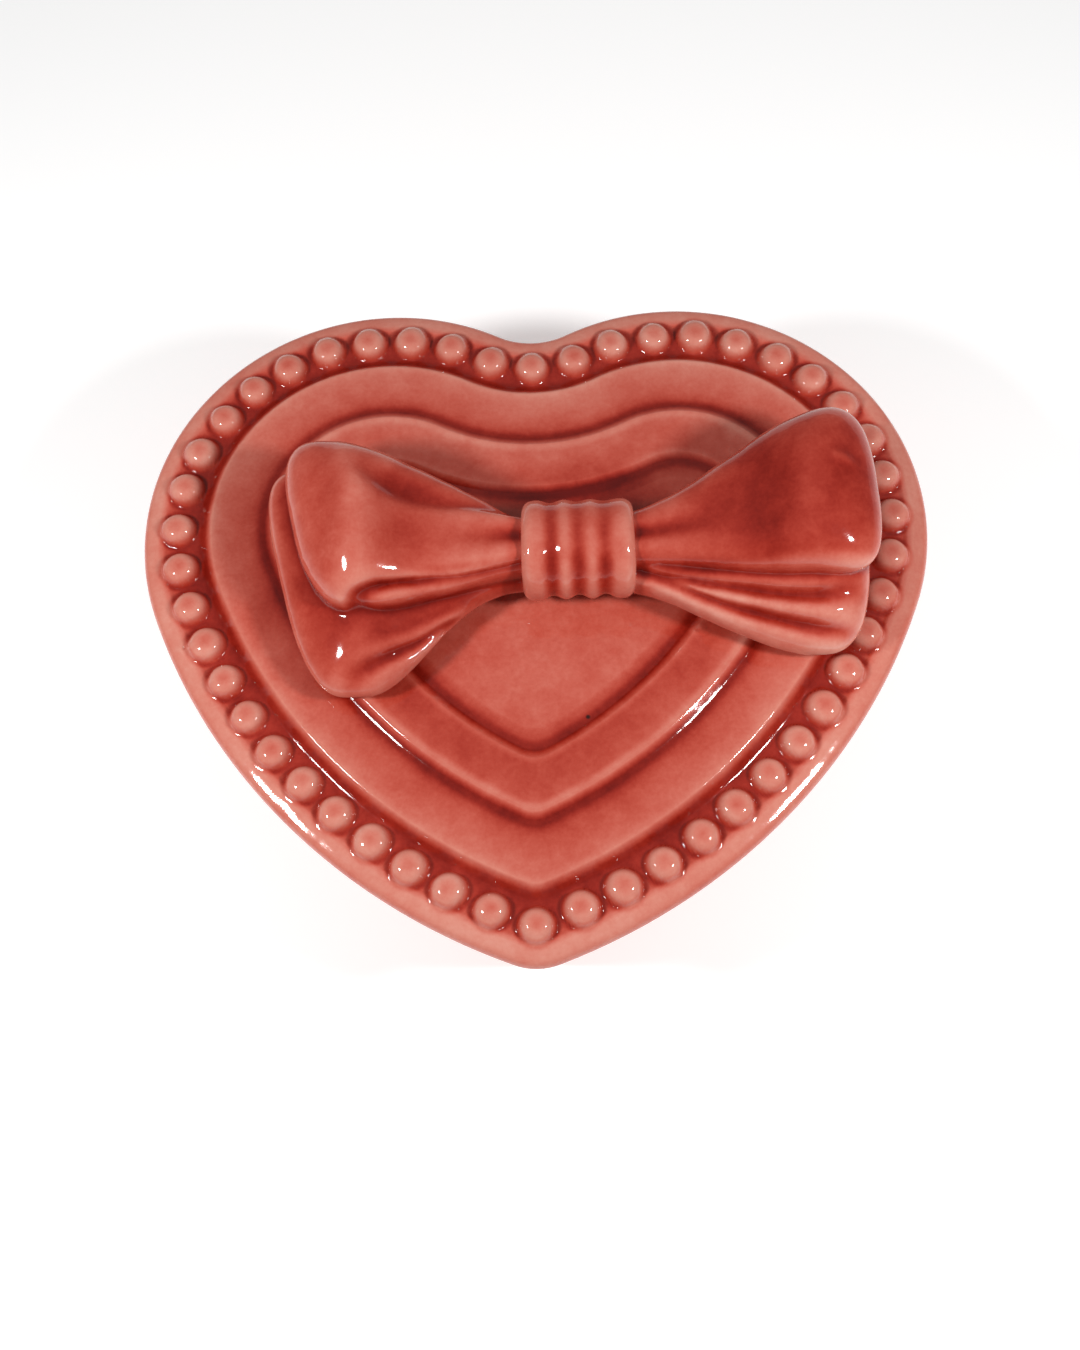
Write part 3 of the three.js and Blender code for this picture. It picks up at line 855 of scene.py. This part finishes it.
def glaze_material(name, stops, clay=False, specks=()):
    material = bpy.data.materials.new(name)
    material.use_nodes = True
    tree = material.node_tree
    tree.nodes.clear()
    output = tree.nodes.new("ShaderNodeOutputMaterial")
    shader = tree.nodes.new("ShaderNodeBsdfPrincipled")
    coords = tree.nodes.new("ShaderNodeTexCoord").outputs["Object"]
    glaze_and_shade = tree.nodes.new("ShaderNodeAttribute")
    glaze_and_shade.attribute_name = "glaze_and_shade"
    clouds = noise(tree, coords, 70, 4, 0.6, 0.5)
    mottle = noise(tree, coords, 330, 5, 0.65, 0.3)
    grain = noise(tree, coords, 1500, 3, 0.6)
    depth = added(tree, glaze_and_shade.outputs["Fac"], clouds, 0.24)
    depth = added(tree, depth, mottle, 0.22)
    depth = added(tree, depth, grain, 0.12)
    colour = ramp(tree, stops, depth)

    # Pinholes, in a few cells of a Voronoi pattern.
    cells = tree.nodes.new("ShaderNodeTexVoronoi")
    cells.inputs["Scale"].default_value = 85
    tree.links.new(coords, cells.inputs["Vector"])
    chance = tree.nodes.new("ShaderNodeSeparateColor")
    tree.links.new(cells.outputs["Color"], chance.inputs[0])
    rare = math_node(tree, "GREATER_THAN", chance.outputs["Red"], 0.72)
    close = math_node(tree, "LESS_THAN", cells.outputs["Distance"], 0.016)
    pinhole = math_node(tree, "MULTIPLY", rare, close)
    colour = mixed(tree, math_node(tree, "MULTIPLY", pinhole, 0.75), colour, (0.14, 0.008, 0.006))
    for point, radius in specks:
        colour = mixed(tree, near_point(tree, coords, point, radius), colour, (0.035, 0.008, 0.006))
    rough = math_node(tree, "ADD", 0.045, math_node(tree, "MULTIPLY", mottle, 0.08))
    if clay:
        bare = tree.nodes.new("ShaderNodeAttribute")
        bare.attribute_name = "bare"
        biscuit = ramp(tree, [(0.3, (0.62, 0.50, 0.40)), (0.7, (0.78, 0.68, 0.58))], mottle)
        colour = mixed(tree, bare.outputs["Fac"], colour, biscuit)
        rough = math_node(tree, "ADD", rough, math_node(tree, "MULTIPLY", bare.outputs["Fac"], 0.75))
    tree.links.new(colour, shader.inputs["Base Color"])
    tree.links.new(rough, shader.inputs["Roughness"])
    shader.inputs["IOR"].default_value = 1.5
    shader.inputs["Specular IOR Level"].default_value = 0.42
    waves = noise(tree, coords, 190, 2)
    fine = noise(tree, coords, 900, 3)
    height = math_node(tree, "ADD", waves, math_node(tree, "MULTIPLY", fine, 0.10))
    height = math_node(tree, "SUBTRACT", height, math_node(tree, "MULTIPLY", pinhole, 0.3))
    bump = tree.nodes.new("ShaderNodeBump")
    bump.inputs["Strength"].default_value = 0.22
    bump.inputs["Distance"].default_value = 0.0006
    tree.links.new(height, bump.inputs["Height"])
    tree.links.new(bump.outputs["Normal"], shader.inputs["Normal"])
    tree.links.new(shader.outputs["BSDF"], output.inputs["Surface"])
    return material


GLAZE_STOPS = [
    (0.0, (0.82, 0.42, 0.34)),
    (0.2, (0.72, 0.26, 0.19)),
    (0.4, (0.62, 0.13, 0.09)),
    (0.55, (0.52, 0.070, 0.042)),
    (0.7, (0.38, 0.026, 0.014)),
    (0.85, (0.23, 0.009, 0.004)),
    (1.0, (0.11, 0.002, 0.001)),
]
lid_glaze = glaze_material("lid_glaze", GLAZE_STOPS, clay=True, specks=[((8.4, -18.4, PANEL), 0.5)])
bowl_glaze = glaze_material("bowl_glaze", GLAZE_STOPS, clay=True)
bow_glaze = glaze_material("bow_glaze", GLAZE_STOPS)

# ---------------------------------------------------------------- bodies

for obj, material, body, node_name, slot in (
    (bowl, bowl_glaze, "bowl", "heart_bowl", "bowl_glaze"),
    (lid, lid_glaze, "lid", "heart_lid", "lid_glaze"),
    (loop_left, bow_glaze, "lid", "bow_loop_left", "bow_glaze"),
    (loop_right, bow_glaze, "lid", "bow_loop_right", "bow_glaze"),
    (knot, bow_glaze, "lid", "bow_knot_band", "bow_glaze"),
):
    obj.data.materials.clear()
    obj.data.materials.append(material)
    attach(obj, body)
    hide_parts(node_name)

# ---------------------------------------------------------------- stage, light and camera

bpy.ops.mesh.primitive_circle_add(vertices=96, radius=2.5, fill_type="NGON", location=(0, 0, -0.0002))
floor = bpy.context.object
floor.name = "floor"
paper = bpy.data.materials.new("floor_paper")
paper.use_nodes = True
paper.node_tree.nodes["Principled BSDF"].inputs["Base Color"].default_value = (0.93, 0.925, 0.92, 1)
paper.node_tree.nodes["Principled BSDF"].inputs["Roughness"].default_value = 0.9
paper.node_tree.nodes["Principled BSDF"].inputs["Emission Color"].default_value = (1, 1, 1, 1)
paper.node_tree.nodes["Principled BSDF"].inputs["Emission Strength"].default_value = 0.38
floor.data.materials.append(paper)


LAMP_AIM = Vector((0, 0, 38)) * MM
LAMP_DIAMETER, LAMP_RADIANCE = 44, 93


def lamp(name, place_mm):
    """A round studio lamp that faces the box."""
    place = Vector(place_mm) * MM
    data = bpy.data.lights.new(name, "AREA")
    data.shape = "DISK"
    data.size = LAMP_DIAMETER * MM
    data.energy = LAMP_RADIANCE * math.pi * math.pi * (data.size / 2) ** 2
    light = bpy.data.objects.new(name, data)
    light.location = place
    light.rotation_euler = (LAMP_AIM - place).to_track_quat("-Z", "Y").to_euler()
    bpy.context.scene.collection.objects.link(light)


lamp("lamp_left", (-190, -70, 240))
lamp("lamp_right", (190, -70, 240))

# Soft, dim light from every side, a little stronger from straight above and near the horizon.
world = bpy.data.worlds.new("studio")
bpy.context.scene.world = world
world.use_nodes = True
tree = world.node_tree
background = tree.nodes["Background"]
direction = tree.nodes.new("ShaderNodeTexCoord").outputs["Generated"]
facing = tree.nodes.new("ShaderNodeVectorMath")
facing.operation = "DOT_PRODUCT"
tree.links.new(direction, facing.inputs[0])
facing.inputs[1].default_value = Vector((0.0, 0.1, 1.0)).normalized()
SKY = [(0.0, 0.30), (0.2, 0.16), (0.7, 0.20), (1.0, 0.33)]
sky = ramp(tree, [(place, (grey, grey, grey)) for place, grey in SKY], facing.outputs["Value"])
tree.links.new(sky, background.inputs["Color"])
background.inputs["Strength"].default_value = 1.0

camera_data = bpy.data.cameras.new("camera")
camera = bpy.data.objects.new("camera", camera_data)
bpy.context.scene.collection.objects.link(camera)
CAMERA_ELEVATION, CAMERA_AZIMUTH, CAMERA_ROLL = 70.0, 4.006, -4.801
CAMERA_DISTANCE = 0.260
CAMERA_TARGET = Vector((0.000839, -0.009874, 0.0344))
elevation, azimuth = math.radians(CAMERA_ELEVATION), math.radians(CAMERA_AZIMUTH)
back = Vector((
    math.sin(azimuth) * math.cos(elevation),
    -math.cos(azimuth) * math.cos(elevation),
    math.sin(elevation),
))
right = (-back).cross(Vector((0, 0, 1))).normalized()
up = right.cross(-back)
roll = math.radians(CAMERA_ROLL)
axis_x = math.cos(roll) * right + math.sin(roll) * up
axis_y = -math.sin(roll) * right + math.cos(roll) * up
rotation = Matrix((axis_x, axis_y, back)).transposed()
camera.matrix_world = Matrix.Translation(CAMERA_TARGET + back * CAMERA_DISTANCE) @ rotation.to_4x4()
camera_data.sensor_width = 36  # mm
camera_data.lens = 43.18  # mm
camera_data.clip_start = 0.01
bpy.context.scene.camera = camera
bpy.context.scene.view_settings.view_transform = "Standard"
